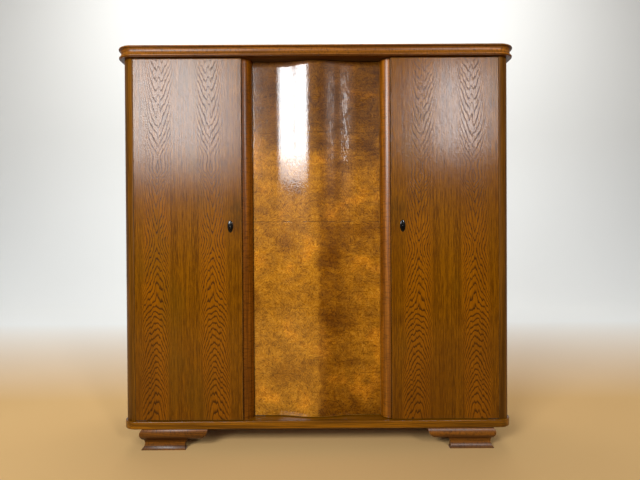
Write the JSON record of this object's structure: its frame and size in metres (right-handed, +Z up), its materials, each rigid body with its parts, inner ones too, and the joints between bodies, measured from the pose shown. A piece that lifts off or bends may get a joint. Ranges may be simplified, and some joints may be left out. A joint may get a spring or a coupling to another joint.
{
  "type": "wardrobe",
  "caption": "Free-standing wardrobe with hinged doors, a bowed burr-veneered middle door between quarter-round pillars, a moulded cornice, shelves, a garment rail and bracket feet.",
  "frame": {"origin": "centre of the footprint of the whole, on the floor", "axes": "+Z up, +X to the right seen from the front, +Y from the front to the back"},
  "size_m": [1.85, 0.587, 1.87],
  "materials": {
    "oak_veneer": "satin lacquered veneer",
    "burr_veneer": "high gloss lacquered veneer",
    "pillar_wood": "satin stain",
    "carcass_wood": "satin stain",
    "cornice_wood": "satin stain",
    "foot_wood": "satin stain",
    "inside_wood": "matt",
    "back_wood": "matt plywood",
    "steel": "dull steel",
    "black_horn": "polished"
  },
  "bodies": {
    "root": {"left_pillar": "pillar_wood", "left_side": "carcass_wood", "right_side": "carcass_wood", "left_corner_post": "carcass_wood", "right_corner_post": "carcass_wood", "base_front": "carcass_wood", "base_left": "carcass_wood", "base_right": "carcass_wood", "cornice_front": "cornice_wood", "cornice_left": "cornice_wood", "cornice_right": "cornice_wood", "front_left_foot": "foot_wood", "front_right_foot": "foot_wood", "left_front_return": "foot_wood", "right_front_return": "foot_wood", "left_rear_foot": "foot_wood", "right_rear_foot": "foot_wood", "foot_blocks": "inside_wood", "base_back": "inside_wood", "floor_board": "inside_wood", "top_board": "inside_wood", "partition": "inside_wood", "shelf_1": "inside_wood", "shelf_2": "inside_wood", "shelf_3": "inside_wood", "shelf_4": "inside_wood", "shelf_battens": "inside_wood", "hat_shelf": "inside_wood", "garment_rail": "inside_wood", "cornice_back": "inside_wood", "back_muntin": "inside_wood", "left_back_panel": "back_wood", "centre_back_panel": "back_wood", "right_back_panel": "back_wood", "cornice_panel": "back_wood", "foot_screws": "steel", "back_screws": "steel", "left_strike_plate": "steel", "rail_sockets": "steel", "rail_hanger": "steel", "carcass_pivots": "steel"},
    "left_door": {"left_door_panel": "oak_veneer", "left_door_pivots": "steel", "left_escutcheon": "black_horn", "left_lock_case": "steel", "left_lock_screws": "steel"},
    "left_lock_bolt": {"left_lock_bolt": "steel"},
    "centre_door": {"centre_door_panel": "burr_veneer", "centre_door_pivots": "steel", "right_pillar": "pillar_wood", "right_strike_plate": "steel", "slide_bolt_guides": "steel"},
    "top_slide_bolt": {"top_slide_bolt": "steel"},
    "bottom_slide_bolt": {"bottom_slide_bolt": "steel"},
    "right_door": {"right_door_panel": "oak_veneer", "right_door_pivots": "steel", "right_escutcheon": "black_horn", "right_lock_case": "steel", "right_lock_screws": "steel"},
    "right_lock_bolt": {"right_lock_bolt": "steel"}
  },
  "joints": [
    {"name": "left_door_hinge", "type": "hinge", "parent": "root", "child": "left_door", "pos_m": [-0.836, -0.2605, 0.135], "axis": [0, 0, -1], "range_deg": [0, 110]},
    {"name": "centre_door_hinge", "type": "hinge", "parent": "root", "child": "centre_door", "pos_m": [-0.289, -0.2045, 0.135], "axis": [0, 0, -1], "range_deg": [0, 100]},
    {"name": "right_door_hinge", "type": "hinge", "parent": "root", "child": "right_door", "pos_m": [0.836, -0.2605, 0.135], "axis": [0, 0, 1], "range_deg": [0, 110]},
    {"name": "left_lock", "type": "slide", "parent": "left_door", "child": "left_lock_bolt", "axis": [1, 0, 0], "range_m": [0, 0.009]},
    {"name": "right_lock", "type": "slide", "parent": "right_door", "child": "right_lock_bolt", "axis": [-1, 0, 0], "range_m": [0, 0.009]},
    {"name": "top_bolt", "type": "slide", "parent": "centre_door", "child": "top_slide_bolt", "axis": [0, 0, 1], "range_m": [0, 0.01]},
    {"name": "bottom_bolt", "type": "slide", "parent": "centre_door", "child": "bottom_slide_bolt", "axis": [0, 0, -1], "range_m": [0, 0.01]}
  ]
}
